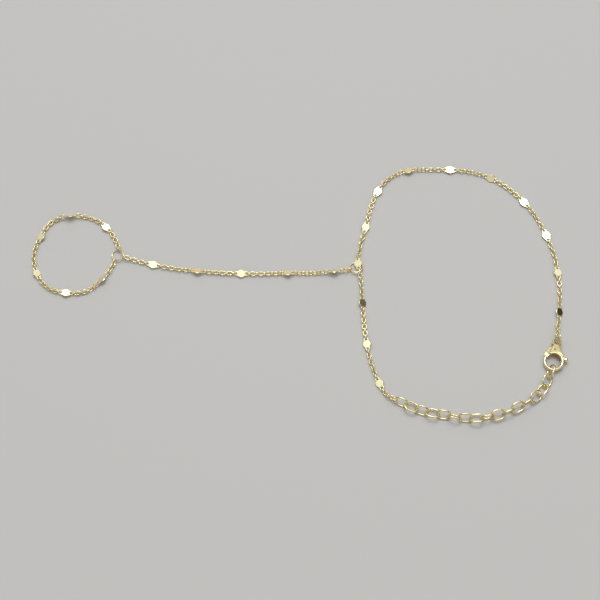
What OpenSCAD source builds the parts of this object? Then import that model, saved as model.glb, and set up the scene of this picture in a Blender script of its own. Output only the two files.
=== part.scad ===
// Hand chain bracelet, laid out flat: a finger loop, a chain over the back of the hand and a
// wrist loop with an extender and a lobster clasp. Millimetres, +Z up, the origin in the middle
// of the footprint on the surface that the piece lies on. The camera side is -Y.

/* [Fine chain] */
// Outer length of one small oval link
link_l = 1.85; // [1.83:0.01:1.95]
// Outer width of one small oval link
link_w = 1.35; // [1.3:0.05:1.8]
// Wire of the small links and of the disc eyelets
link_wire = 0.3; // [0.2:0.01:0.32]
// Least clearance between pieces that hang in one another
loose_gap = 0.12; // [0.05:0.01:0.15]

/* [Mirror discs] */
// Diameter of the round plate
disc_d = 2.45; // [2.0:0.05:3.2]
// Thickness of the plate
disc_t = 0.36; // [0.32:0.02:0.6]
// Width of the bevel round the plate's rim
disc_bevel = 0.12; // [0.04:0.01:0.16]
// Hole of the eyelet at each end of a disc
eyelet_hole = 0.68; // [0.66:0.01:0.9]
// How far the plate reaches into the eyelet's ring
eyelet_bite = 0.03; // [0.02:0.01:0.1]
// Thickness of the shoulders that join the plate to its eyelets
shoulder_t = 0.24; // [0.16:0.02:0.28]

/* [Jump rings] */
// Outer diameter of the lying jump rings at the finger loop and the wrist loop
ring_d = 4.0; // [3.6:0.1:5.0]
// Outer diameter of the jump ring that stands in the clasp's eye
clasp_ring_d = 3.3; // [3.2:0.1:4.2]
// Wire of the jump rings
ring_wire = 0.4; // [0.3:0.02:0.44]
// Length of the link that the wrist ring is threaded through
junction_l = 2.25; // [2.2:0.05:2.8]

/* [Extender] */
// Outer length of one extender link
ext_l = 4.25; // [4.2:0.05:5.0]
// Outer width of one extender link
ext_w = 3.2; // [3.1:0.05:3.8]
// Wire of the extender links
ext_wire = 0.5; // [0.4:0.02:0.52]

/* [Clasp] */
// Outer diameter of the clasp's ring
clasp_d = 5.8; // [5.6:0.1:6.4]
// Width of the ring's section, seen from the front
hook_w = 0.78; // [0.6:0.02:0.9]
// Thickness of the ring's section
hook_t = 1.0; // [0.8:0.05:1.0]
// Thickness of the clasp's body
clasp_t = 2.2; // [2.1:0.05:2.6]
// Thickness of each cheek beside the lever
cheek_t = 0.6; // [0.5:0.02:0.64]
// Centre of the ring to the centre of the eye
eye_reach = 6.2; // [6.1:0.05:7.0]
// Wire of the eye
eye_wire = 0.65; // [0.55:0.01:0.7]
// Hole of the eye
eye_hole = 1.3; // [1.2:0.05:1.5]
// Width of the collar below the eye
collar_w = 3.0; // [2.6:0.1:3.4]
// Centre of the eye to the rivet, along the clasp
rivet_drop = 2.7; // [2.55:0.05:2.8]
// Diameter of the rivet
rivet_d = 0.6; // [0.4:0.02:0.7]
// Clearance round the rivet and beside the lever
run_gap = 0.05; // [0.02:0.01:0.08]
// Clearance of the rivet in the cheeks
rivet_fit = 0.01; // [0:0.005:0.03]
// Gap between the tip of the gate and the tip of the hook
gate_gap = 0.1; // [0.08:0.01:0.2]
// Diameter of the thumb knob
knob_d = 1.2; // [0.9:0.05:1.3]

/* [Hidden] */
$fn = 48;
GOLD = [0.93, 0.83, 0.53];
PALE = [0.96, 0.90, 0.68];

// Routes on the surface, in millimetres from the middle of the layout. A row is x, y and the
// roll of the disc whose centre lies there; a row without a roll only shapes the curve.
FINGER_ROUTE = [
    [-54.2, 18.3], [-57.45, 23.45, 6], [-62.5, 26.4], [-68.4, 27.0, 53], [-73.9, 25.0],
    [-76.7, 20.1, 14], [-78.3, 14.4], [-77.0, 8.2, -22], [-73.4, 3.6], [-68.0, 1.9, -2],
    [-62.2, 2.4], [-57.65, 6.2, -36], [-55.4, 9.6]];
HAND_ROUTE = [
    [-48.0, 12.3], [-43.1, 11.0, 8], [-36.5, 9.7], [-30.0, 8.9, -29], [-23.6, 8.4],
    [-17.2, 8.1, 12], [-10.4, 8.1], [-3.6, 8.3, -29], [3.2, 8.3], [9.95, 8.7, -47]];
UPPER_ROUTE = [
    [17.3, 14.9], [18.2, 18.6], [19.5, 23.3, 10], [21.0, 29.4], [23.3, 35.4, 2],
    [27.2, 40.1], [32.8, 42.6, -27], [39.0, 42.9], [45.4, 42.8, 3], [51.6, 42.1],
    [57.6, 40.0, 24], [62.8, 36.3], [67.1, 31.7, 4], [70.5, 26.4], [72.9, 20.6, 6],
    [74.6, 14.6], [75.4, 8.4, -10], [75.4, 2.2], [74.8, -4.2, -30]];
LOWER_ROUTE = [
    [17.8, 4.2], [18.1, -1.3, -26], [18.4, -7.8], [19.1, -14.1, 14], [20.3, -20.3],
    [22.4, -26.1, 16], [24.3, -29.4]];
EXTENDER_ROUTE = [
    [30.0, -32.7], [34.3, -34.5], [40.8, -35.7], [46.7, -36.6], [52.5, -36.3], [58.8, -34.4],
    [63.6, -31.8], [66.7, -29.8], [69.0, -26.8]];
// Where the last small link meets the first extender link
EXTENDER_START = [26.9, -31.2];
// Rolls of the extender's links, from the fine chain to the clasp
EXTENDER_ROLLS = [64, -12, 52, -20, 52, -58, 58, -24, -90, 26, -80, 36, -80, 32, -32, 32, -60];

// Where the jump rings lie and which way their low side points
FINGER_RING_XY = [-53.6, 14.1];
FINGER_RING_TILT = 18;
FINGER_RING_LOW = 180;
WRIST_RING_XY = [16.4, 10.1];
WRIST_RING_TILT = 13;
WRIST_RING_LOW = 100;
CLASP_RING_ROLL = 78;
CLASP_RING_YAW = -94;
// How much further the clasp's ring lies in the eye than when it is pulled tight
CLASP_RING_SLACK = 0.25;
// Compass directions at which the chains hook on the rings
FINGER_HOOKS = [84, 245, -18];
WRIST_HOOK = 203;
JUNCTION_HOOK = -57;
JUNCTION_YAW = 106;
// The disc next to the junction link: its direction and roll
JUNCTION_DISC_YAW = 95;
JUNCTION_DISC_ROLL = -18;
CLASP_RING_HOOK = 200;
// The clasp's place and its turn on the surface
CLASP_XY = [71.75, -19.65];
CLASP_YAW = -14;
// Direction, seen from the clasp's ring, in which the extender hangs
EXTENDER_HOOK = -92;

// How steeply the chain climbs to a ring or a disc that stands higher
RAMP = 0.14;
CURVE_STEPS = 10;

ring_r = (ring_d - ring_wire) / 2;
clasp_ring_r = (clasp_ring_d - ring_wire) / 2;
link_pitch = link_l - 2 * link_wire - loose_gap;
ext_pitch = ext_l - 2 * ext_wire - loose_gap;
eyelet_r = (eyelet_hole + link_wire) / 2;
eyelet_x = disc_d / 2 + eyelet_hole / 2 - eyelet_bite;
disc_pitch = 2 * (eyelet_x + eyelet_r) - link_wire - loose_gap;
junction_pitch = junction_l - 2 * link_wire - loose_gap;

// Turning points and directions
function turn_x(v, a) = [v.x, v.y * cos(a) - v.z * sin(a), v.y * sin(a) + v.z * cos(a)];
function turn_y(v, a) = [v.x * cos(a) + v.z * sin(a), v.y, v.z * cos(a) - v.x * sin(a)];
function turn_z(v, a) = [v.x * cos(a) - v.y * sin(a), v.x * sin(a) + v.y * cos(a), v.z];
function turn(v, a) = turn_z(turn_y(turn_x(v, a.x), a.y), a.z);
function flat(p) = [p.x, p.y];

// A place is a centre and three angles. This one lies between two hooking points.
function between(p, q, roll) =
    let (d = q - p)
    [(p + q) / 2, [roll, -atan2(d.z, norm(flat(d))), atan2(d.y, d.x)]];

// Half of the height that a loop of centreline radius r and wire w takes at a roll
function half_height(roll, r, w) = r * abs(sin(roll)) + w / 2;
function link_need(roll) = half_height(roll, (link_w - link_wire) / 2, link_wire);
function ext_need(roll) = half_height(roll, (ext_w - ext_wire) / 2, ext_wire);
function disc_need(roll) = max(
    disc_d / 2 * abs(sin(roll)) + disc_t / 2 * abs(cos(roll)),
    half_height(roll, eyelet_r, link_wire));

// The roll at which a ring's plane shows to a chain that runs in direction yaw
function ring_roll(place, yaw) =
    let (n = turn([0, 0, 1], place[1]))
    atan2(n.x * sin(yaw) - n.y * cos(yaw), n.z);
// A point at distance r from a ring's centre, at an angle in the ring's own plane
function ring_point(place, angle, r) = place[0] + turn([r * cos(angle), r * sin(angle), 0], place[1]);
// Where a chain that runs off towards a point of the surface hooks round the ring's wire
function ring_hook(place, angle, r, toward) =
    let (
        w = ring_point(place, angle, r),
        d = toward - flat(w),
        slope = max(-RAMP, min(RAMP, (link_need(90) - w.z) / link_pitch)),
        u = concat(d, [slope * norm(d)]))
    w - u / norm(u) * (ring_wire + loose_gap) / 2;

function lying_ring(xy, tilt, low) =
    [[xy.x, xy.y, half_height(tilt, ring_r, ring_wire)], [0, tilt, low]];
finger_ring_place = lying_ring(FINGER_RING_XY, FINGER_RING_TILT, FINGER_RING_LOW);
hand_ring_place = lying_ring(WRIST_RING_XY, WRIST_RING_TILT, WRIST_RING_LOW);

// The curve of a chain through its route points
function spline(a, b, c, d, t) =
    (2 * b + (c - a) * t + (2 * a - 5 * b + 4 * c - d) * t * t + (3 * b - a - 3 * c + d) * t * t * t) / 2;
function curve(p) = concat(
    [for (i = [0:len(p) - 2], k = [0:CURVE_STEPS - 1])
        spline(p[max(i - 1, 0)], p[i], p[i + 1], p[min(i + 2, len(p) - 1)], k / CURVE_STEPS)],
    [p[len(p) - 1]]);
function lengths(c) =
    [for (i = 0, s = 0; i < len(c); s = s + (i + 1 < len(c) ? norm(c[i + 1] - c[i]) : 0), i = i + 1) s];
function along(c, s_of, s) =
    [lookup(s, [for (i = [0:len(c) - 1]) [s_of[i], c[i].x]]),
     lookup(s, [for (i = [0:len(c) - 1]) [s_of[i], c[i].y]])];

// Difference of two rolls, brought between -90 and 90, because a half turn changes nothing
function half_turn(a) = a - 180 * round(a / 180);

// Heights of the hooking points: no piece sinks into the surface, and slopes stay gentle
function heights(stops, needs, z_start, z_end) =
    let (last = len(stops) - 1)
    [for (i = [0:last]) max(concat(
        [z_start - RAMP * (stops[i] - stops[0]), z_end - RAMP * (stops[last] - stops[i])],
        [for (j = [0:last - 1])
            needs[j] - RAMP * max(0, stops[j] - stops[i], stops[i] - stops[j + 1])]))];

// One run of fine chain from point a to point b. Each piece of the result is the number of its
// disc, or 0 for a small link, and its place.
function run(a, roll_a, route, b, roll_b) =
    let (
        points = concat([flat(a)], [for (r = route) flat(r)], [flat(b)]),
        c = curve(points),
        s_of = lengths(c),
        total = s_of[len(s_of) - 1],
        discs = [for (i = [0:len(route) - 1]) if (len(route[i]) > 2)
            [s_of[(i + 1) * CURVE_STEPS], route[i][2]]],
        count = len(discs),
        parts = [for (j = [0:count])
            let (
                from = j == 0 ? 0 : discs[j - 1][0] + disc_pitch / 2,
                to = j == count ? total : discs[j][0] - disc_pitch / 2,
                roll_from = j == 0 ? roll_a : discs[j - 1][1],
                roll_to = j == count ? roll_b : discs[j][1],
                n = max(1, ceil((to - from) / link_pitch)),
                step = (to - from) / n,
                twist = 90 + half_turn(roll_to - roll_from - 90 * (n + 1)) / (n + 1))
            each concat(
                [for (k = [0:n - 1]) [from + k * step, roll_from + (k + 1) * twist, 0]],
                j < count ? [[to, roll_to, j + 1]] : [])],
        stops = concat([for (p = parts) p[0]], [total]),
        needs = [for (p = parts) p[2] > 0 ? disc_need(p[1]) : link_need(p[1])],
        z = heights(stops, needs, a.z, b.z),
        hooks = [for (i = [0:len(stops) - 1]) concat(along(c, s_of, stops[i]), [z[i]])])
    [for (i = [0:len(parts) - 1]) [parts[i][2], between(hooks[i], hooks[i + 1], parts[i][1])]];

// Direction in which a run leaves its first point, and reaches its last
function heading(p, q) = atan2(q.y - p.y, q.x - p.x);

// Finger loop: from the ring's top round to its lower left
finger_last = flat(FINGER_ROUTE[len(FINGER_ROUTE) - 1]);
finger_start = ring_hook(finger_ring_place, FINGER_HOOKS[0] - FINGER_RING_LOW, ring_r, flat(FINGER_ROUTE[0]));
finger_end = ring_hook(finger_ring_place, FINGER_HOOKS[1] - FINGER_RING_LOW, ring_r, finger_last);
finger_run = run(
    finger_start, ring_roll(finger_ring_place, heading(finger_start, FINGER_ROUTE[0])), FINGER_ROUTE,
    finger_end, ring_roll(finger_ring_place, heading(finger_last, finger_end)));

// Hand chain: from the finger ring to the wrist ring
hand_last = flat(HAND_ROUTE[len(HAND_ROUTE) - 1]);
hand_start = ring_hook(finger_ring_place, FINGER_HOOKS[2] - FINGER_RING_LOW, ring_r, flat(HAND_ROUTE[0]));
hand_end = ring_hook(hand_ring_place, WRIST_HOOK - WRIST_RING_LOW, ring_r, hand_last);
hand_run = run(
    hand_start, ring_roll(finger_ring_place, heading(hand_start, HAND_ROUTE[0])), HAND_ROUTE,
    hand_end, ring_roll(hand_ring_place, heading(hand_last, hand_end)));

// The junction link stands round the ring's wire, and the next disc hangs on it
junction_c = ring_point(hand_ring_place, JUNCTION_HOOK - WRIST_RING_LOW, ring_r);
junction_u = [cos(JUNCTION_YAW), sin(JUNCTION_YAW), 0];
junction_low = junction_c - junction_u * junction_pitch / 2;
junction_high = junction_c + junction_u * junction_pitch / 2;
junction_place = between(junction_low, junction_high, 90);
upper_start = junction_high + disc_pitch * [cos(JUNCTION_DISC_YAW), sin(JUNCTION_DISC_YAW), 0];
junction_disc_place = between(junction_high, upper_start, JUNCTION_DISC_ROLL);

// The clasp's own frame: its ring's centre, +Y towards the eye, the flat back on the surface
clasp_place = [[CLASP_XY.x, CLASP_XY.y, 0], [0, 0, CLASP_YAW]];
clasp_mid = clasp_t / 2;
hook_r = (clasp_d - hook_w) / 2;
clasp_r = clasp_d / 2;
clasp_hole_r = clasp_r - hook_w;
eye_r = (eye_hole + eye_wire) / 2;

// The third jump ring stands in the clasp's eye
clasp_ring_z = half_height(CLASP_RING_ROLL, clasp_ring_r, ring_wire);
eye_top = clasp_place[0] + turn([0, eye_reach + eye_r, clasp_mid], clasp_place[1]);
eye_hook_r = clasp_ring_r - (eye_wire + ring_wire) / 2 - loose_gap - CLASP_RING_SLACK;
eye_hook = asin((clasp_mid - clasp_ring_z) / (eye_hook_r * sin(CLASP_RING_ROLL)));
clasp_ring_turn = [CLASP_RING_ROLL, 0, CLASP_RING_YAW];
clasp_ring_place = [
    eye_top - turn([eye_hook_r * cos(eye_hook), eye_hook_r * sin(eye_hook), 0], clasp_ring_turn),
    clasp_ring_turn];

// Wrist loop, upper run: from the disc at the junction round to the clasp's ring
upper_last = flat(UPPER_ROUTE[len(UPPER_ROUTE) - 1]);
upper_end = ring_hook(clasp_ring_place, CLASP_RING_HOOK, clasp_ring_r, upper_last);
upper_run = run(
    upper_start, JUNCTION_DISC_ROLL, UPPER_ROUTE,
    upper_end, ring_roll(clasp_ring_place, heading(upper_last, upper_end)));

// Wrist loop, lower run: from the junction link to the extender
ext_start_z = ext_need(EXTENDER_ROLLS[0]);
lower_end = [EXTENDER_START.x, EXTENDER_START.y, ext_start_z];
lower_run = run(junction_low, 90, LOWER_ROUTE, lower_end, EXTENDER_ROLLS[0]);

// Extender: its last link is hooked in the clasp
ext_last_roll = EXTENDER_ROLLS[len(EXTENDER_ROLLS) - 1];
ext_end_r = clasp_hole_r - ext_wire - loose_gap / 2;
ext_end = clasp_place[0]
    + turn([ext_end_r * cos(EXTENDER_HOOK), ext_end_r * sin(EXTENDER_HOOK), 0], clasp_place[1])
    + [0, 0, ext_need(ext_last_roll)];
ext_curve = curve(concat([flat(lower_end)], EXTENDER_ROUTE, [flat(ext_end)]));
ext_s = lengths(ext_curve);
ext_count = len(EXTENDER_ROLLS);
ext_stops = [for (i = [0:ext_count]) ext_s[len(ext_s) - 1] * i / ext_count];
ext_z = heights(ext_stops, [for (r = EXTENDER_ROLLS) ext_need(r)], lower_end.z, ext_end.z);
ext_hooks = [for (i = [0:ext_count]) concat(along(ext_curve, ext_s, ext_stops[i]), [ext_z[i]])];
ext_places = [for (i = [0:ext_count - 1]) between(ext_hooks[i], ext_hooks[i + 1], EXTENDER_ROLLS[i])];

// Places of one kind of piece in a run
function links_of(pieces) = [for (p = pieces) if (p[0] == 0) p[1]];
function discs_of(pieces) = [for (p = pieces) if (p[0] > 0) p[1]];
disc_places = concat(
    discs_of(finger_run), discs_of(hand_run), [junction_disc_place],
    discs_of(upper_run), discs_of(lower_run));

// Reach of a stadium loop from its centre in direction d, for the footprint of the whole piece
function reach(place, half_straight, r, w, d) =
    let (u = turn([1, 0, 0], place[1]) * d, v = turn([0, 1, 0], place[1]) * d)
    half_straight * abs(u) + r * norm([u, v]) + w / 2;
function link_reach(p, d) = reach(p, (link_l - link_w) / 2, (link_w - link_wire) / 2, link_wire, d);
function ext_reach(p, d) = reach(p, (ext_l - ext_w) / 2, (ext_w - ext_wire) / 2, ext_wire, d);
function disc_reach(p, d) = max(
    reach(p, eyelet_x, eyelet_r, link_wire, d),
    reach(p, 0, disc_d / 2, 0, d) + disc_t / 2 * abs(turn([0, 0, 1], p[1]) * d));
small_places = concat(links_of(finger_run), links_of(hand_run), links_of(upper_run), links_of(lower_run));
function far(d) = max(concat(
    [for (p = small_places) p[0] * d + link_reach(p, d)],
    [for (p = disc_places) p[0] * d + disc_reach(p, d)],
    [for (p = ext_places) p[0] * d + ext_reach(p, d)]));
middle = [
    (far([1, 0, 0]) - far([-1, 0, 0])) / 2,
    (far([0, 1, 0]) - far([0, -1, 0])) / 2,
    0];

module place(p) {
    translate(p[0] - middle) rotate(p[1]) children();
}

// An oval wire link along X: two half rings and two straight sides
module oval_link(l, w, wire) {
    r = (w - wire) / 2;
    s = (l - w) / 2;
    for (e = [-1, 1]) {
        translate([e * s, 0, 0])
            rotate([0, 0, e * 90 - 180])
                rotate_extrude(angle = 180) translate([r, 0]) circle(d = wire, $fn = 24);
        translate([-s, e * r, 0])
            rotate([0, 90, 0]) cylinder(d = wire, h = 2 * s, $fn = 24);
    }
}

module small_links(places) {
    color(GOLD) for (p = places) place(p) oval_link(link_l, link_w, link_wire);
}

module finger_chain() {
    small_links(links_of(finger_run));
}

module hand_chain() {
    small_links(links_of(hand_run));
}

module wrist_chain_upper() {
    small_links(links_of(upper_run));
}

module wrist_chain_lower() {
    small_links(links_of(lower_run));
}

module junction_link() {
    color(GOLD) place(junction_place) oval_link(junction_l, link_w, link_wire);
}

// Straight shoulders from the edge of the plate's face to the flanks of the eyelets
module shoulders() {
    plate_r = disc_d / 2 - disc_bevel;
    flank_r = eyelet_r + 0.15 * link_wire;
    lean = acos((plate_r - flank_r) / eyelet_x);
    inner = plate_r * [cos(lean), sin(lean)];
    outer = [eyelet_x, 0] + flank_r * [cos(lean), sin(lean)];
    linear_extrude(shoulder_t, center = true)
        difference() {
            polygon([
                outer, inner, [-inner.x, inner.y], [-outer.x, outer.y],
                -outer, -inner, [inner.x, -inner.y], [outer.x, -outer.y]]);
            for (e = [-1, 1]) translate([e * eyelet_x, 0]) circle(r = eyelet_r);
        }
}

// A round plate with bevelled rims and a soldered wire eyelet at each end
module mirror_disc(p) {
    r = disc_d / 2;
    h = disc_t / 2;
    b = disc_bevel;
    color(PALE) place(p) {
        rotate_extrude()
            polygon([[0, -h], [r - b, -h], [r, b - h], [r, h - b], [r - b, h], [0, h]]);
        shoulders();
        for (e = [-1, 1])
            translate([e * eyelet_x, 0, 0])
                rotate_extrude() translate([eyelet_r, 0]) circle(d = link_wire, $fn = 24);
    }
}

module jump_ring(p, r) {
    color(GOLD) place(p) rotate_extrude() translate([r, 0]) circle(d = ring_wire, $fn = 24);
}

module finger_ring() {
    jump_ring(finger_ring_place, ring_r);
}

module hand_ring() {
    jump_ring(hand_ring_place, ring_r);
}

module clasp_ring() {
    jump_ring(clasp_ring_place, clasp_ring_r);
}

module extender_link(p) {
    color(GOLD) place(p) oval_link(ext_l, ext_w, ext_wire);
}

// Sizes of the clasp in its own frame: the ring's centre is the origin, +Y points at the eye
rivet_y = eye_reach - rivet_drop;
rivet_at = [-0.2, rivet_y];
slot_t = clasp_t - 2 * cheek_t;
lever_t = slot_t - 2 * run_gap;
gate_r = 0.97 * rivet_y;
hub_r = 1.5 * rivet_d;
head_room = 0.45;
neck_w = 1.9;
neck_y = rivet_y + hub_r + head_room;
slot_y = 0.05;
collar_h = 0.5;
collar_t = 1.6;
collar_drop = 0.15;
collar_y = eye_reach - eye_hole / 2 - collar_drop - collar_h / 2;
root_turn = -38;
tip_turn = 140;
knob_at = [0.915 * clasp_r + knob_d / 2 + 2.5 * run_gap, 0.45 * clasp_r];
knob_t = 1.5;
knob_edge = 0.3;

module cheek_outline() {
    r = clasp_r;
    polygon([
        [-neck_w / 2, eye_reach - eye_r], [-neck_w / 2, neck_y], [-0.56 * r, 0.76 * r],
        [-0.345 * r, 0.48 * r], [0, -0.3 * r], [0.94 * r, -0.3 * r], [r, 0.05 * r],
        [0.94 * r, 0.38 * r], [0.83 * r, 0.7 * r], [0.735 * r, 0.83 * rivet_y],
        [neck_w / 2, neck_y], [neck_w / 2, eye_reach - eye_r]]);
}

// Sector of the ring where the hook grows out of the body
module root_outline() {
    intersection() {
        circle(d = clasp_d);
        polygon(concat([[0, 0]], [for (a = [0, root_turn / 2, root_turn]) 2 * clasp_d * [cos(a), sin(a)]]));
    }
}

// The hook is an arc of the ring, and its tip is cut round the rivet
module hook() {
    difference() {
        translate([0, 0, clasp_mid]) rotate([0, 0, tip_turn])
            rotate_extrude(angle = 360 - tip_turn + root_turn / 2) translate([hook_r, 0])
                intersection() {
                    square([hook_w, hook_t], center = true);
                    circle(d = 1.08 * hook_t);
                }
        translate(rivet_at) cylinder(r = gate_r, h = clasp_t);
    }
}

// Cheeks in front of and behind the lever, closed at the neck and open on both sides
module cheeks() {
    difference() {
        linear_extrude(clasp_t) cheek_outline();
        translate([-clasp_d, slot_y, clasp_mid - slot_t / 2])
            cube([2 * clasp_d, neck_y - slot_y, slot_t]);
        translate(rivet_at) cylinder(d = rivet_d + 2 * rivet_fit, h = clasp_t);
    }
}

module collar() {
    w = collar_w - collar_h;
    translate([0, collar_y, clasp_mid - collar_t / 2]) {
        translate([-w / 2, -collar_h / 2, 0]) cube([w, collar_h, collar_t]);
        for (e = [-1, 1]) translate([e * w / 2, 0, 0]) cylinder(d = collar_h, h = collar_t);
    }
}

module eye() {
    translate([0, eye_reach, clasp_mid])
        rotate_extrude() translate([eye_r, 0]) circle(d = eye_wire, $fn = 32);
}

module clasp_body() {
    color(GOLD) place(clasp_place) {
        difference() {
            union() {
                cheeks();
                linear_extrude(clasp_t) root_outline();
            }
            cylinder(r = clasp_hole_r, h = clasp_t);
            translate([0, eye_reach, 0]) cylinder(r = eye_r, h = clasp_t);
        }
        hook();
        collar();
        eye();
    }
}

// Gate arm on the left, thumb arm on the right
module lever_outline() {
    r = clasp_r;
    y = rivet_y;
    difference() {
        union() {
            translate(rivet_at) circle(r = hub_r);
            intersection() {
                polygon([
                    [0, y + hub_r], [-0.31 * r, y + 1.1 * hub_r], [-0.6 * r, y + 0.7 * hub_r],
                    [-0.79 * r, 0.91 * y], [-0.985 * r, 0.56 * r], [-0.95 * r, 0.1 * r], [0, 0.1 * r]]);
                translate(rivet_at) circle(r = gate_r - gate_gap);
            }
            polygon([
                [0, y + hub_r], [-0.1 * r, 0.34 * r], [0, 0.31 * r], knob_at + knob_d * [-0.33, -0.33],
                knob_at + knob_d * [0.08, 0], knob_at + knob_d * [-0.2, 0.38], [0.79 * r, 0.72 * r],
                [0.62 * r, 0.9 * y], [0.16 * r, y + 0.9 * hub_r]]);
        }
        circle(r = clasp_hole_r);
        translate(rivet_at) circle(d = rivet_d + 2 * run_gap);
    }
}

module clasp_lever() {
    h = knob_t / 2;
    e = knob_edge;
    r = knob_d / 2;
    color(GOLD) place(clasp_place) translate([0, 0, clasp_mid]) {
        translate([0, 0, -lever_t / 2]) linear_extrude(lever_t) lever_outline();
        translate(knob_at) rotate_extrude()
            polygon([[0, -h], [r - e, -h], [r, e - h], [r, h - e], [r - e, h], [0, h]]);
    }
}

module clasp_rivet() {
    color(PALE) place(clasp_place) translate(rivet_at) cylinder(d = rivet_d, h = clasp_t);
}

function two_digits(i) = str(i < 10 ? "0" : "", i);
function disc_name(i) = str("mirror_disc_", two_digits(i));
function ext_name(i) = str("extender_link_", two_digits(i));

finger_chain();
hand_chain();
wrist_chain_upper();
wrist_chain_lower();
junction_link();
finger_ring();
hand_ring();
clasp_ring();
clasp_body();
clasp_lever();
clasp_rivet();
for (i = [1:len(disc_places)])
    mirror_disc(disc_places[i - 1]);
for (i = [1:ext_count])
    extender_link(ext_places[i - 1]);
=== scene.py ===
import math

import bmesh
import bpy
import numpy as np
from mathutils import Matrix, Vector

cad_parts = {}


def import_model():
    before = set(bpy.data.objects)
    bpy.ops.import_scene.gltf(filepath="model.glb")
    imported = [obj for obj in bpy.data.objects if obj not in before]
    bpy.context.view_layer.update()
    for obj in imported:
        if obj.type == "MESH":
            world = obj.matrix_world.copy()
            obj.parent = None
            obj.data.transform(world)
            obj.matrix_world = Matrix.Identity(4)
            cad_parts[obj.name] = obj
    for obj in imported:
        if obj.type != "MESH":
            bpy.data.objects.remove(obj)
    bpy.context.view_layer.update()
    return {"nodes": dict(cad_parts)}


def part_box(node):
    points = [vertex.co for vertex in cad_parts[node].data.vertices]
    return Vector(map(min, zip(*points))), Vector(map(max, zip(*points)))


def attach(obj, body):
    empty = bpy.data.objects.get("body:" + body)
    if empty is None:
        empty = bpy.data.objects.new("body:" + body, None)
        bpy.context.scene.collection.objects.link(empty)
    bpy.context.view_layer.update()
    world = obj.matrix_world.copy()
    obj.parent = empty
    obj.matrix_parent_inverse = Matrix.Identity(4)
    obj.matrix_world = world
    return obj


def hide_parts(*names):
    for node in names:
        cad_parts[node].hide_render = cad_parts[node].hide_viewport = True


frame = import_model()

MM = 0.001
NODES = frame["nodes"]
scene = bpy.context.scene
scene.view_settings.view_transform = "Standard"

# Real sizes in millimetres, as the solids have them
LINK_L, LINK_W, LINK_WIRE = 1.85, 1.35, 0.3
JUNCTION_L = 2.25
DISC_R, DISC_T = 1.225, 0.36
EYELET_X, EYELET_R = 1.535, 0.49
SHOULDER_T = 0.24
SHOULDER_POINTS = ((0.407, 1.027), (1.734, 0.502))
RING_R, CLASP_RING_R, RING_WIRE = 1.8, 1.45, 0.4
EXT_L, EXT_W, EXT_WIRE = 4.25, 3.2, 0.5
CLASP_R, CLASP_T, CLASP_YAW = 2.9, 2.2, -14
CLASP_MID = CLASP_T / 2
HOOK_W, HOOK_T = 0.78, 1.0
HOLE_R = CLASP_R - HOOK_W
CHEEK_T, RUN_GAP = 0.6, 0.05
EYE_REACH, EYE_HOLE, EYE_WIRE = 6.2, 1.3, 0.65
EYE_R = (EYE_HOLE + EYE_WIRE) / 2
NECK_W, NECK_Y = 1.9, 4.85
RIVET_AT, RIVET_D = (-0.2, 3.5), 0.6
HUB_R = 1.5 * RIVET_D
GATE_R, GATE_GAP = 0.97 * RIVET_AT[1], 0.1
KNOB_AT, KNOB_D, KNOB_T = (3.38, 1.305), 1.2, 1.5
# The collar's own form, a plain bar with a swelling in place of each round end of the solid's:
# the place of a swelling, and half of each of its widths
COLLAR_W, COLLAR_L, COLLAR_Y = 2.4, 0.48, 5.16
SWELLINGS = (((-1.22, 5.15), (0.34, 0.32, 0.62)), ((1.14, 5.45), (0.36, 0.34, 0.64)))
# Regions of the clasp with painted shade: the brushed cheek, darkened where it faces up, without the
# ring's polished crest, and the wall of the opening, painted darker and warmer as shade
BRUSHED_SHADE_AT, BRUSHED_SHADE_R = (-0.2, 4.7), 3.4
CREST_AT, CREST_R = (0.55, 0.1), 2.75
WALL_SHADE_R = HOLE_R + 0.06
# Voxel of the clasp's soft skin, in millimetres
CAST_VOXEL = 0.036
# Noise scales, per metre, of the gold's tone, wear, scratches and dents
TONE_SCALE, WEAR_SCALE, SCRATCH_SCALE, DENT_SCALE = 900, 5200, 14000, 1100

# The camera looks from the photograph's side, at the middle of the layout
TARGET = (1.114 * MM, -3.006 * MM, 0)
CAMERA_ELEVATION = 66
CAMERA_DISTANCE = 380 * MM
LENS = 78.6
# Azimuth and elevation of the main soft box: the flat discs mirror it to the camera
KEY = (180, 66)


# Placing: each link of a chain is found in the frame's mesh by its own principal axes
def islands(node):
    """Vertex positions and triangles of each loose solid of a node."""
    bm = bmesh.new()
    bm.from_mesh(NODES[node].data)
    bmesh.ops.remove_doubles(bm, verts=bm.verts, dist=1e-7)
    bmesh.ops.triangulate(bm, faces=bm.faces)
    seen = set()
    result = []
    for first in bm.verts:
        if first in seen:
            continue
        stack = [first]
        faces = set()
        seen.add(first)
        while stack:
            v = stack.pop()
            faces.update(v.link_faces)
            for e in v.link_edges:
                w = e.other_vert(v)
                if w not in seen:
                    seen.add(w)
                    stack.append(w)
        result.append(np.array([[v.co for v in f.verts] for f in faces]))
    bm.free()
    return result


def lie(triangles):
    """Matrix of a loop: X along its length, Z square to its plane."""
    cross = np.cross(triangles[:, 1] - triangles[:, 0], triangles[:, 2] - triangles[:, 0])
    area = np.linalg.norm(cross, axis=1) / 2
    mids = np.stack([(triangles[:, i] + triangles[:, (i + 1) % 3]) / 2 for i in range(3)], 1)
    centre = (area[:, None] * mids.mean(1)).sum(0) / area.sum()
    arm = mids - centre
    spread = np.einsum("t,tki,tkj->ij", area, arm, arm)
    axes = np.linalg.eigh(spread)[1]
    x = Vector(axes[:, 2])
    z = Vector(axes[:, 0])
    if z.z < 0:
        z = -z
    y = z.cross(x)
    m = Matrix((x, y, z)).transposed().to_4x4()
    m.translation = Vector(centre)
    return m


def places(node):
    """Matrices of a node's loops, from left to right."""
    found = [lie(t) for t in islands(node)]
    return sorted(found, key=lambda m: (round(m.translation.x, 6), round(m.translation.y, 6)))


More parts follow.
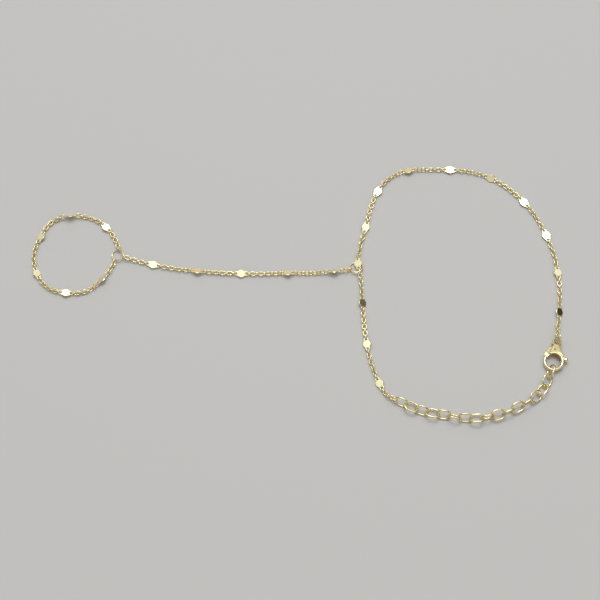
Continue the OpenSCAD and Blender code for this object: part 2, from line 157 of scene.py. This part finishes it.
# Meshes
def new_object(name, mesh):
    obj = bpy.data.objects.new(name, mesh)
    scene.collection.objects.link(obj)
    return obj


def mesh_of(name, verts, faces, smooth=True):
    mesh = bpy.data.meshes.new(name)
    mesh.from_pydata([tuple(v) for v in verts], [], faces)
    mesh.validate()
    if smooth:
        mesh.shade_smooth()
    return mesh


def swept(path, radii, sides, closed=True):
    """Tube round a flat path in the XY plane: vertices and quads."""
    n = len(path)
    verts = []
    faces = []
    for i, p in enumerate(path):
        before = path[i - 1] if closed or i else path[i]
        after = path[(i + 1) % n] if closed or i < n - 1 else path[i]
        along = (after - before).normalized()
        side = Vector((along.y, -along.x, 0))
        for k in range(sides):
            a = 2 * math.pi * k / sides
            verts.append(p + radii[i] * (math.cos(a) * side + Vector((0, 0, math.sin(a)))))
    for i in range(n if closed else n - 1):
        j = (i + 1) % n
        for k in range(sides):
            m = (k + 1) % sides
            faces.append((i * sides + k, j * sides + k, j * sides + m, i * sides + m))
    if not closed:
        faces.append(tuple(range(sides)))
        faces.append(tuple(reversed(range((n - 1) * sides, n * sides))))
    return verts, faces


def circle(radius, turns):
    """Points of a flat ring, anticlockwise from +X."""
    return [radius * Vector((math.cos(a), math.sin(a), 0))
            for a in (2 * math.pi * i / turns for i in range(turns))]


def stadium(length, width, wire, turns, straights):
    """Centreline of an oval link, from the middle of one straight side round."""
    r = (width - wire) / 2
    s = (length - width) / 2
    path = [Vector((-s + 2 * s * i / straights, -r, 0)) for i in range(straights)]
    path += [Vector((s + r * math.sin(a), -r * math.cos(a), 0))
             for a in (math.pi * i / turns for i in range(turns))]
    path += [Vector((s - 2 * s * i / straights, r, 0)) for i in range(straights)]
    path += [Vector((-s - r * math.sin(a), r * math.cos(a), 0))
             for a in (math.pi * i / turns for i in range(turns))]
    return path


def oval_link(name, length, width, wire, turns, straights, sides, seam):
    """Wire link whose one straight side has the slight swelling of a soldered joint."""
    path = stadium(length, width, wire, turns, straights)
    r = (width - wire) / 2
    radii = [wire / 2 * (1 + seam * math.exp(-(p.x / (0.35 * wire)) ** 2) * (p.y < -0.9 * r))
             for p in path]
    verts, faces = swept(path, radii, sides)
    return mesh_of(name, [v * MM for v in verts], faces)


def jump_ring(name, radius, wire, turns, sides, cut):
    """Round ring of wire with the fine cut where its ends meet."""
    gap = cut / radius
    path = [radius * Vector((math.cos(a), math.sin(a), 0))
            for a in (gap / 2 + (2 * math.pi - gap) * i / (turns - 1) for i in range(turns))]
    verts, faces = swept(path, [wire / 2] * turns, sides, closed=False)
    return mesh_of(name, [v * MM for v in verts], faces)


def faces_between_poles(rings, turns):
    """Faces over rings of points, with the first and the last point as poles."""
    faces = []
    top = 1 + (rings - 1) * turns
    for i in range(turns):
        j = (i + 1) % turns
        faces.append((0, 1 + j, 1 + i))
        for a in range(1, top, turns):
            faces.append((a + i, a + j, a + turns + j, a + turns + i))
        faces.append((top + i, top + j, top + turns))
    return faces


def lathe(profile, turns):
    """Solid of revolution round Z from (radius, z) pairs that start and end on the axis."""
    verts = [Vector((0, 0, profile[0][1]))]
    for r, z in profile[1:-1]:
        verts += [p + Vector((0, 0, z)) for p in circle(r, turns)]
    verts.append(Vector((0, 0, profile[-1][1])))
    return verts, faces_between_poles(len(profile) - 2, turns)


def moved(part, matrix):
    """Vertices and faces with the vertices moved by a matrix."""
    return [matrix @ v for v in part[0]], part[1]


def slab(outline, levels):
    """Plate of an anticlockwise outline, through pairs of a height and an inset."""
    n = len(outline)
    verts = []
    for z, inset in levels:
        for i, p in enumerate(outline):
            along = (outline[(i + 1) % n] - outline[i - 1]).normalized()
            verts.append(Vector((p.x - inset * along.y, p.y + inset * along.x, z)))
    faces = [tuple(reversed(range(n)))]
    for k in range(len(levels) - 1):
        faces += [(k * n + i, k * n + (i + 1) % n, (k + 1) * n + (i + 1) % n, (k + 1) * n + i)
                  for i in range(n)]
    faces.append(tuple(range((len(levels) - 1) * n, len(levels) * n)))
    return verts, faces


def drum(centre, radius, levels):
    """Upright cylinder, through pairs of a height and an inset."""
    return slab([Vector((*centre, 0)) + p for p in circle(radius, 96)], levels)


def evaluated(obj):
    """New mesh with the object's modifiers applied."""
    return bpy.data.meshes.new_from_object(obj.evaluated_get(bpy.context.evaluated_depsgraph_get()))


def shaped(name, steps):
    """Closed parts joined or cut away in turn, worked out in millimetres."""
    objects = [new_object(f"{name}_{i}", mesh_of(f"{name}_{i}", *part))
               for i, (_, part) in enumerate(steps)]
    for (operation, _), tool in zip(steps[1:], objects[1:]):
        modifier = objects[0].modifiers.new("step", "BOOLEAN")
        modifier.operation = operation
        modifier.solver = "EXACT"
        modifier.object = tool
    mesh = evaluated(objects[0])
    for obj in objects:
        bpy.data.objects.remove(obj)
    mesh.name = name
    return mesh


def mirror_disc(name):
    """Round plate with bevelled rims, soldered shoulders and a wire eyelet at each end."""
    h = DISC_T / 2
    bevel = 0.13
    step = 0.02
    profile = [(0, -h), (DISC_R - bevel - step, -h), (DISC_R - bevel, -h + step / 2),
               (DISC_R - step, -h + bevel), (DISC_R, -h + bevel + step),
               (DISC_R, h - bevel - step), (DISC_R - step, h - bevel),
               (DISC_R - bevel, h - step / 2), (DISC_R - bevel - step, h), (0, h)]
    top = SHOULDER_T / 2
    (u, v), (x, y) = SHOULDER_POINTS
    outline = [Vector(p) for p in ((x, y), (u, v), (-u, v), (-x, y),
                                   (-x, -y), (-u, -v), (u, -v), (x, -y))]
    ring = circle(EYELET_R, 32)
    eyelet = swept(ring, [LINK_WIRE / 2] * len(ring), 12)
    ends = (-EYELET_X, EYELET_X)
    steps = [("UNION", slab(outline, [(-top, 0.04), (0.04 - top, 0), (top - 0.04, 0), (top, 0.04)]))]
    steps += [("DIFFERENCE", drum((e, 0), EYELET_R, [(-1, 0), (1, 0)])) for e in ends]
    steps += [("UNION", lathe(profile, 64))]
    steps += [("UNION", moved(eyelet, Matrix.Translation((e, 0, 0)))) for e in ends]
    mesh = shaped(name, steps)
    for face in mesh.polygons:
        face.use_smooth = abs(face.normal.z) < 0.999
    mesh.transform(Matrix.Scale(MM, 4))
    return mesh


def copies(name, mesh, matrices):
    """One object with a copy of the mesh at each matrix."""
    co = np.zeros(len(mesh.vertices) * 3)
    mesh.vertices.foreach_get("co", co)
    co = np.c_[co.reshape(-1, 3), np.ones(len(mesh.vertices))]
    faces = [tuple(p.vertices) for p in mesh.polygons]
    verts = []
    all_faces = []
    for m in matrices:
        base = len(verts)
        verts += [tuple(v) for v in (co @ np.array(m).T)[:, :3]]
        all_faces += [tuple(base + i for i in f) for f in faces]
    result = mesh_of(name, verts, all_faces, smooth=False)
    smooth = [p.use_smooth for p in mesh.polygons] * len(matrices)
    result.polygons.foreach_set("use_smooth", smooth)
    return new_object(name, result)


# The clasp, in its own frame: the ring's centre is the origin, +Y points at the eye
def rounded(outline, cut):
    """Outline whose corners are replaced by small curves."""
    steps = 5
    result = []
    for i, corner in enumerate(outline):
        p = Vector(corner)
        before = Vector(outline[i - 1])
        after = Vector(outline[(i + 1) % len(outline)])
        reach = min(cut, (before - p).length / 2.2, (after - p).length / 2.2)
        start = p + (before - p).normalized() * reach
        end = p + (after - p).normalized() * reach
        for t in (k / steps for k in range(steps + 1)):
            result.append((1 - t) ** 2 * start + 2 * t * (1 - t) * p + t * t * end)
    return result


def power(x, e):
    """Sine or cosine of a squared-off circle."""
    return math.copysign(abs(x) ** e, x)


def arc_bar(start, stop, steps, section):
    """Bar along the clasp's ring, whose section(t) gives its width, height and squareness."""
    sides = 28
    verts = []
    for i in range(steps + 1):
        a = math.radians(start + (stop - start) * i / steps)
        width, height, square = section(i / steps)
        for b in (2 * math.pi * k / sides for k in range(sides)):
            r = CLASP_R - HOOK_W / 2 - 0.02 + width / 2 * power(math.cos(b), square)
            z = CLASP_MID + height / 2 * power(math.sin(b), square)
            verts.append(Vector((r * math.cos(a), r * math.sin(a), z)))
    faces = []
    for i in range(steps):
        for k in range(sides):
            m = (k + 1) % sides
            faces.append((i * sides + k, i * sides + m, (i + 1) * sides + m, (i + 1) * sides + k))
    faces.append(tuple(reversed(range(sides))))
    faces.append(tuple(range(steps * sides, (steps + 1) * sides)))
    return verts, faces


def ease(t):
    """Smooth step from 0 to 1."""
    t = min(1, max(0, t))
    return t * t * (3 - 2 * t)


def hook_section(t):
    """From the deep root in the body to the slim tip."""
    slim = ease((t - 0.1) / 0.3)
    height = CLASP_T * (1 - slim) + HOOK_T * (1.02 - 0.14 * t) * slim
    return HOOK_W * (1.04 - 0.16 * t), height, 0.62 + 0.2 * slim


def crest_section(_):
    """The same all the way."""
    return 0.98 * HOOK_W, CLASP_T, 0.62


def ball(centre, radii, square=1.0):
    """Ellipsoid, made blunter by a squareness below 1."""
    rings, turns = 14, 24
    centre = Vector(centre)
    verts = [centre - Vector((0, 0, radii[2]))]
    for p in (math.pi * r / rings for r in range(1, rings)):
        wide = power(math.sin(p), square)
        z = -radii[2] * power(math.cos(p), square)
        verts += [centre + Vector((radii[0] * wide * power(math.cos(a), square),
                                   radii[1] * wide * power(math.sin(a), square), z))
                  for a in (2 * math.pi * i / turns for i in range(turns))]
    verts.append(centre + Vector((0, 0, radii[2])))
    return verts, faces_between_poles(rings - 1, turns)


def cast(name, steps, rounds, triangles):
    """One shape of several, softened at every edge like polished metal."""
    solid = new_object(name, shaped(name, steps))
    modifier = solid.modifiers.new("skin", "REMESH")
    modifier.mode = "VOXEL"
    modifier.voxel_size = CAST_VOXEL
    modifier.use_smooth_shade = True
    modifier = solid.modifiers.new("soften", "SMOOTH")
    modifier.factor = 0.5
    modifier.iterations = rounds
    solid.data = evaluated(solid)
    solid.modifiers.clear()
    modifier = solid.modifiers.new("fewer", "DECIMATE")
    modifier.ratio = min(1, triangles / (2 * len(solid.data.polygons)))
    mesh = evaluated(solid)
    bpy.data.objects.remove(solid)
    mesh.transform(Matrix.Scale(MM, 4))
    mesh.name = name
    return mesh


THROUGH = [(-1, 0), (CLASP_T + 1, 0)]
OPENING = ("DIFFERENCE", drum((0, 0), HOLE_R, THROUGH))


def clasp_body_steps():
    """Hook, cheeks, crest, eye and collar, with the opening, the lever's slot and the bores cut out."""
    r, y = CLASP_R, RIVET_AT[1]
    neck = NECK_W / 2
    cheek = [(-neck, EYE_REACH - EYE_R), (-neck, NECK_Y), (-0.56 * r, 0.76 * r), (-0.345 * r, 0.48 * r),
             (0, -0.3 * r), (0.94 * r, -0.3 * r), (r, 0.05 * r), (0.94 * r, 0.38 * r),
             (0.83 * r, 0.7 * r), (0.735 * r, 0.83 * y), (neck, NECK_Y), (neck, EYE_REACH - EYE_R)]
    rims = [(0, 0.2), (0.08, 0.08), (0.24, 0), (1.8, 0), (2, 0.1), (2.08, 0.22)]
    slot = [Vector(p) for p in ((-0.66 * r, 0.05), (2 * r, 0.05), (2 * r, NECK_Y), (-0.66 * r, NECK_Y))]
    side, low, high = COLLAR_W / 2, COLLAR_Y - COLLAR_L / 2, COLLAR_Y + COLLAR_L / 2
    bar = [(-side, low), (side, low), (side, high), (-side, high)]
    eye = circle(EYE_R, 48)
    eye = swept(eye, [EYE_WIRE / 2] * len(eye), 20)
    eye = moved(eye, Matrix.Translation((0, EYE_REACH, CLASP_MID)) @ Matrix.Diagonal((1, 1, 1.25, 1)))
    return [("UNION", arc_bar(8, -222, 90, hook_section)),
            ("DIFFERENCE", drum(RIVET_AT, GATE_R, THROUGH)),
            ("UNION", slab(rounded(cheek, 0.45), rims)),
            ("UNION", arc_bar(-6, 128, 60, crest_section)),
            OPENING,
            ("DIFFERENCE", slab(slot, [(CHEEK_T, 0), (CLASP_T - CHEEK_T, 0)])),
            ("UNION", eye),
            *[("UNION", ball((*at, CLASP_MID), half)) for at, half in SWELLINGS],
            ("UNION", slab(rounded(bar, 0.15), [(0.4, 0.05), (0.55, 0), (1.65, 0), (1.8, 0.05)])),
            ("DIFFERENCE", drum((0, EYE_REACH), EYE_HOLE / 2 + 0.02, THROUGH)),
            ("DIFFERENCE", drum(RIVET_AT, RIVET_D / 2 + 0.02, THROUGH))]


def clasp_lever_steps():
    """Gate that ends inside the ring, hub round the rivet, thumb arm and knob."""
    r, y = CLASP_R, RIVET_AT[1]
    x, v = KNOB_AT
    half = CLASP_MID - CHEEK_T - RUN_GAP
    rims = [(CLASP_MID - half, 0.07), (CLASP_MID - half + 0.1, 0), (CLASP_MID + half - 0.1, 0),
            (CLASP_MID + half, 0.07)]
    gate = [(0, y + HUB_R), (-0.31 * r, y + 1.1 * HUB_R), (-0.6 * r, y + 0.7 * HUB_R),
            (-0.79 * r, 0.91 * y), (-0.985 * r, 0.56 * r), (-0.95 * r, 0.1 * r), (0, 0.1 * r)]
    thumb = [(0, y + HUB_R), (-0.1 * r, 0.34 * r), (0, 0.31 * r), (x - 0.4, v - 0.4), (x + 0.1, v),
             (x - 0.24, v + 0.46), (0.79 * r, 0.72 * r), (0.62 * r, 0.9 * y),
             (0.16 * r, y + 0.9 * HUB_R)]
    return [("UNION", slab(rounded(gate, 0.3), rims)),
            ("INTERSECT", drum(RIVET_AT, GATE_R - GATE_GAP, THROUGH)),
            ("UNION", drum(RIVET_AT, HUB_R, rims)),
            ("UNION", slab(rounded(thumb, 0.25), rims)),
            ("UNION", ball((x - 0.06, v, CLASP_MID), (0.55 * KNOB_D, 0.55 * KNOB_D, KNOB_T / 2), 0.75)),
            OPENING,
            ("DIFFERENCE", drum(RIVET_AT, RIVET_D / 2 + RUN_GAP, THROUGH))]


def rivet_mesh():
    """Pin with slightly domed, polished heads, flush with the cheeks."""
    r = RIVET_D / 2
    profile = [(0, 0), (0.6 * r, 0.01), (0.9 * r, 0.04), (r, 0.09), (r, CLASP_T - 0.09),
               (0.9 * r, CLASP_T - 0.04), (0.6 * r, CLASP_T - 0.01), (0, CLASP_T)]
    verts, faces = lathe(profile, 48)
    return mesh_of("rivet", [(v + Vector((*RIVET_AT, 0))) * MM for v in verts], faces)


def clasp_matrix():
    """The clasp's own frame, found from the rivet's place in the CAD frame."""
    low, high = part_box("clasp_rivet")
    turn = Matrix.Rotation(math.radians(CLASP_YAW), 4, "Z")
    origin = (low + high) / 2 - turn @ (Vector((*RIVET_AT, 0)) * MM)
    origin.z = 0
    return Matrix.Translation(origin) @ turn


# Materials
def shader(name):
    """New material with its tree and its surface node."""
    material = bpy.data.materials.new(name)
    material.use_nodes = True
    tree = material.node_tree
    return material, tree, tree.nodes["Principled BSDF"]


def node(tree, kind, **values):
    """New shader node; each value goes to the input or else to the setting of its name."""
    n = tree.nodes.new(kind)
    for key, value in values.items():
        if key in n.inputs:
            n.inputs[key].default_value = value
        else:
            setattr(n, key, value)
    return n


def noise(tree, scale, detail, roughness=0.5):
    """Noise in the piece's own coordinates."""
    place = node(tree, "ShaderNodeTexCoord")
    texture = node(tree, "ShaderNodeTexNoise", Scale=scale, Detail=detail, Roughness=roughness)
    tree.links.new(place.outputs["Object"], texture.inputs["Vector"])
    return texture.outputs["Fac"]


def relief(tree, height, strength, distance, below=None):
    """Normal of a bumpy surface, laid over another normal if one is given."""
    bump = node(tree, "ShaderNodeBump", Strength=strength, Distance=distance)
    tree.links.new(height, bump.inputs["Height"])
    if below:
        tree.links.new(below, bump.inputs["Normal"])
    return bump.outputs["Normal"]


def gold(name, tint, deep, rough, scratch, dent):
    """Polished yellow gold: tint where it is bright, deep where it is worn or toned."""
    material, tree, bsdf = shader(name)
    tone = node(tree, "ShaderNodeValToRGB")
    for element, position, colour in zip(tone.color_ramp.elements, (0.3, 0.62), (deep, tint)):
        element.position = position
        element.color = (*colour, 1)
    tree.links.new(noise(tree, TONE_SCALE, 4, 0.6), tone.inputs["Fac"])
    tree.links.new(tone.outputs["Color"], bsdf.inputs["Base Color"])
    wear = node(tree, "ShaderNodeMapRange")
    wear.inputs["To Min"].default_value = 0.6 * rough
    wear.inputs["To Max"].default_value = 1.6 * rough
    tree.links.new(noise(tree, WEAR_SCALE, 3, 0.7), wear.inputs["Value"])
    tree.links.new(wear.outputs["Result"], bsdf.inputs["Roughness"])
    scratches = relief(tree, noise(tree, SCRATCH_SCALE, 2), scratch, 2e-6)
    dents = relief(tree, noise(tree, DENT_SCALE, 1), dent, 2e-5, scratches)
    tree.links.new(dents, bsdf.inputs["Normal"])
    bsdf.inputs["Metallic"].default_value = 1
    return material


def share_between(tree, socket, start, stop):
    """Share of the way of a value from start to stop, held between 0 and 1."""
    share = node(tree, "ShaderNodeMapRange")
    share.inputs["From Min"].default_value = start
    share.inputs["From Max"].default_value = stop
    tree.links.new(socket, share.inputs["Value"])
    return share.outputs["Result"]


def near(tree, place, at, radius, soft):
    """Share by which a point of the clasp lies within a radius of an upright axis."""
    centre = place @ (Vector((*at, 0)) * MM)
    coordinates = node(tree, "ShaderNodeTexCoord")
    flat = node(tree, "ShaderNodeVectorMath", operation="MULTIPLY")
    flat.inputs[1].default_value = (1, 1, 0)
    tree.links.new(coordinates.outputs["Object"], flat.inputs[0])
    reach = node(tree, "ShaderNodeVectorMath", operation="DISTANCE")
    reach.inputs[1].default_value = (centre.x, centre.y, 0)
    tree.links.new(flat.outputs["Vector"], reach.inputs[0])
    return share_between(tree, reach.outputs["Value"], (radius + soft) * MM, (radius - soft) * MM)


def combined(tree, operation, first, second):
    """Two shares in one sum, held between 0 and 1."""
    result = node(tree, "ShaderNodeMath", operation=operation, use_clamp=True)
    tree.links.new(first, result.inputs[0])
    tree.links.new(second, result.inputs[1])
    return result.outputs["Value"]


def blended(tree, blend, share, first):
    """Colour mixing node whose first colour is linked; gives its second socket and its result."""
    mix = node(tree, "ShaderNodeMix", data_type="RGBA", blend_type=blend)
    factor, colour_a, colour_b = mix.inputs[0], mix.inputs[6], mix.inputs[7]
    if share:
        tree.links.new(share, factor)
    else:
        factor.default_value = 1
    tree.links.new(first, colour_a)
    return colour_b, mix.outputs[2]


def toned(material, region, slope, tint, rough):
    """Another tint and roughness in a region; slope is the normal's Z where it starts and is full."""
    tree = material.node_tree
    bsdf = tree.nodes["Principled BSDF"]
    shape = node(tree, "ShaderNodeNewGeometry")
    normal = node(tree, "ShaderNodeSeparateXYZ")
    tree.links.new(shape.outputs["Normal"], normal.inputs["Vector"])
    facing = share_between(tree, normal.outputs["Z"], *slope)
    share = combined(tree, "MULTIPLY", facing, region)
    for name, value in (("Base Color", tint), ("Roughness", (rough, rough, rough))):
        second, result = blended(tree, "MIX", share, bsdf.inputs[name].links[0].from_socket)
        second.default_value = (*value, 1)
        tree.links.new(result, bsdf.inputs[name])


def clasp_satin_and_painted_shade(material, place):
    """Brushed cheek with painted shade, darker where it lies flat, and painted shade of deep, warm gold
    on the wall of the opening.
    """
    tree = material.node_tree
    cheek = near(tree, place, BRUSHED_SHADE_AT, BRUSHED_SHADE_R, 0.12)
    crest = near(tree, place, CREST_AT, CREST_R, 0.12)
    wall_shade = near(tree, place, (0, 0), WALL_SHADE_R, 0.03)
    # Painted shade: the brushed cheek's colour is darkened where its face points up, and its roughness
    # raised
    toned(material, combined(tree, "SUBTRACT", cheek, crest), (0.8, 0.95), (0.31, 0.28, 0.15), 0.26)
    # Painted shade: darker, warmer gold on the steep wall of the opening, where the recess is in shade
    toned(material, wall_shade, (0.7, 0.4), (0.58, 0.32, 0.10), 0.2)


BRIGHT = (0.94, 0.85, 0.52)
DEEP = (0.86, 0.70, 0.34)
CHAIN_GOLD = gold("chain_gold", BRIGHT, DEEP, 0.16, 0.3, 0.25)
MIRROR_GOLD = gold("mirror_gold", (0.95, 0.89, 0.60), (0.93, 0.83, 0.48), 0.08, 0.2, 0.06)
RING_GOLD = gold("ring_gold", BRIGHT, DEEP, 0.13, 0.3, 0.2)
CLASP_GOLD = gold("clasp_gold", (0.92, 0.85, 0.56), (0.82, 0.68, 0.34), 0.16, 0.3, 0.3)


def finish_piece(obj, material, body, slot, *replaced):
    """Give a piece its material and its body, and hide the CAD nodes that it stands for. The slot
    argument is not used.
    """
    obj.data.materials.clear()
    obj.data.materials.append(material)
    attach(obj, body)
    if replaced:
        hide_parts(*replaced)
    return obj


# Fine chain, junction link, extender, rings and discs
small = oval_link("small_link", LINK_L, LINK_W, LINK_WIRE, 12, 3, 10, 0.07)
for chain in ("finger_chain", "hand_chain", "wrist_chain_upper", "wrist_chain_lower"):
    finish_piece(copies(f"{chain}_links", small, places(chain)), CHAIN_GOLD, "root",
                 "fine_chain_gold", chain)
junction = oval_link("junction", JUNCTION_L, LINK_W, LINK_WIRE, 12, 4, 12, 0.07)
finish_piece(copies("junction_wire_link", junction, places("junction_link")), CHAIN_GOLD, "root",
             "fine_chain_gold", "junction_link")
large = oval_link("large_link", EXT_L, EXT_W, EXT_WIRE, 20, 6, 16, 0.05)
rings = {"finger_ring": RING_R, "hand_ring": RING_R, "clasp_ring": CLASP_RING_R}
disc = mirror_disc("disc")
for name in sorted(NODES):
    if name.startswith("extender_link"):
        finish_piece(copies(f"{name}_wire", large, places(name)), RING_GOLD, "root",
                     "extender_gold", name)
    if name.startswith("mirror_disc"):
        finish_piece(copies(f"{name}_plate", disc, places(name)), MIRROR_GOLD, "root",
                     "mirror_disc_gold", name)
    if name in rings:
        ring = jump_ring(f"{name}_round", rings[name], RING_WIRE, 72, 16, 0.03)
        finish_piece(copies(f"{name}_wire", ring, places(name)), RING_GOLD, "root",
                     "jump_ring_gold", name)
clasp_place = clasp_matrix()
clasp_satin_and_painted_shade(CLASP_GOLD, clasp_place)
body_cast = cast("clasp_body_cast", clasp_body_steps(), 5, 60000)
lever_cast = cast("clasp_lever_cast", clasp_lever_steps(), 3, 20000)
for name, mesh, body in (("clasp_body", body_cast, "root"), ("clasp_lever", lever_cast, "lever"),
                         ("clasp_rivet", rivet_mesh(), "root")):
    finish_piece(copies(f"{name}_metal", mesh, [clasp_place]), CLASP_GOLD, body, "clasp_gold", name)


# Stage, light and camera
def stage():
    """Pale, dull floor just under the part."""
    side = 4
    mesh = mesh_of("floor", [(-side, -side, 0), (side, -side, 0), (side, side, 0), (-side, side, 0)],
                   [(0, 1, 2, 3)], smooth=False)
    floor = new_object("floor", mesh)
    floor.location.z = -0.00002
    material, tree, bsdf = shader("floor_paper")
    bsdf.inputs["Base Color"].default_value = (0.64, 0.64, 0.635, 1)
    bsdf.inputs["Roughness"].default_value = 0.8
    mesh.materials.append(material)


def direction(azimuth, elevation):
    """Unit vector; azimuth 0 is the camera's side, 90 is +X."""
    a = math.radians(azimuth)
    e = math.radians(elevation)
    return Vector((math.sin(a) * math.cos(e), -math.cos(a) * math.cos(e), math.sin(e)))


def soft_box(name, azimuth, elevation, distance, size, radiance, colour=(1, 1, 1)):
    """Area light that faces the middle of the piece and looks as bright as its radiance."""
    light = bpy.data.lights.new(name, "AREA")
    light.shape = "RECTANGLE"
    light.size, light.size_y = size
    light.energy = radiance * math.pi * size[0] * size[1]
    light.color = colour
    obj = bpy.data.objects.new(name, light)
    scene.collection.objects.link(obj)
    away = direction(azimuth, elevation)
    obj.location = Vector(TARGET) + distance * away
    obj.rotation_euler = (-away).to_track_quat("-Z", "Y").to_euler()


# Brightness of the studio by the cosine of the angle from the main soft box
STUDIO = [(-1, 0.3), (0, 0.3), (0.42, 0.22), (0.64, 0.4), (0.80, 0.72), (0.90, 1.05), (0.96, 1.7),
          (1, 2)]

# The right side is dark, by the direction's X, and the foot of the room is warm, by its Z
DARK_SIDE = [(0.58, (1, 1, 1)), (0.76, (0.26, 0.24, 0.20))]
WARM_FOOT = [(0.05, (1, 0.80, 0.56)), (0.55, (1, 1, 1))]


def world():
    """Pale room that grows brighter towards the main soft box, with a dark side and a warm foot."""
    w = bpy.data.worlds.new("studio")
    scene.world = w
    w.use_nodes = True
    tree = w.node_tree
    place = node(tree, "ShaderNodeTexCoord")
    dot = node(tree, "ShaderNodeVectorMath", operation="DOT_PRODUCT")
    dot.inputs[1].default_value = direction(*KEY)
    ramp = node(tree, "ShaderNodeValToRGB")
    top = STUDIO[-1][1]
    while len(ramp.color_ramp.elements) < len(STUDIO):
        ramp.color_ramp.elements.new(1)
    for element, (cosine, value) in zip(ramp.color_ramp.elements, STUDIO):
        element.position = (cosine + 1) / 2
        element.color = (value / top, value / top, value / top, 1)
    background = tree.nodes["Background"]
    background.inputs["Strength"].default_value = top
    tree.links.new(place.outputs["Generated"], dot.inputs[0])
    tree.links.new(share_between(tree, dot.outputs["Value"], -1, 1), ramp.inputs["Fac"])
    split = node(tree, "ShaderNodeSeparateXYZ")
    tree.links.new(place.outputs["Generated"], split.inputs["Vector"])
    colour = ramp.outputs["Color"]
    for axis, stops in (("X", DARK_SIDE), ("Z", WARM_FOOT)):
        tint = node(tree, "ShaderNodeValToRGB")
        for element, (position, value) in zip(tint.color_ramp.elements, stops):
            element.position = position
            element.color = (*value, 1)
        tree.links.new(split.outputs[axis], tint.inputs["Fac"])
        second, result = blended(tree, "MULTIPLY", None, colour)
        tree.links.new(tint.outputs["Color"], second)
        colour = result
    tree.links.new(colour, background.inputs["Color"])


def camera():
    """Long lens that looks down at the part as in the photograph."""
    data = bpy.data.cameras.new("camera")
    data.lens = LENS
    data.sensor_width = 36
    data.clip_start = 0.01
    obj = bpy.data.objects.new("camera", data)
    scene.collection.objects.link(obj)
    e = math.radians(CAMERA_ELEVATION)
    obj.location = Vector(TARGET) + CAMERA_DISTANCE * Vector((0, -math.cos(e), math.sin(e)))
    obj.rotation_euler = (math.radians(90 - CAMERA_ELEVATION), 0, 0)
    scene.camera = obj


stage()
world()
soft_box("key", *KEY, 0.9, (0.28, 0.28), 6)
soft_box("front", 34, 24, 1.1, (0.7, 0.5), 1, (1, 0.84, 0.66))
soft_box("back", 180, 10, 1.1, (0.9, 0.24), 0.5, (1, 0.88, 0.7))
camera()
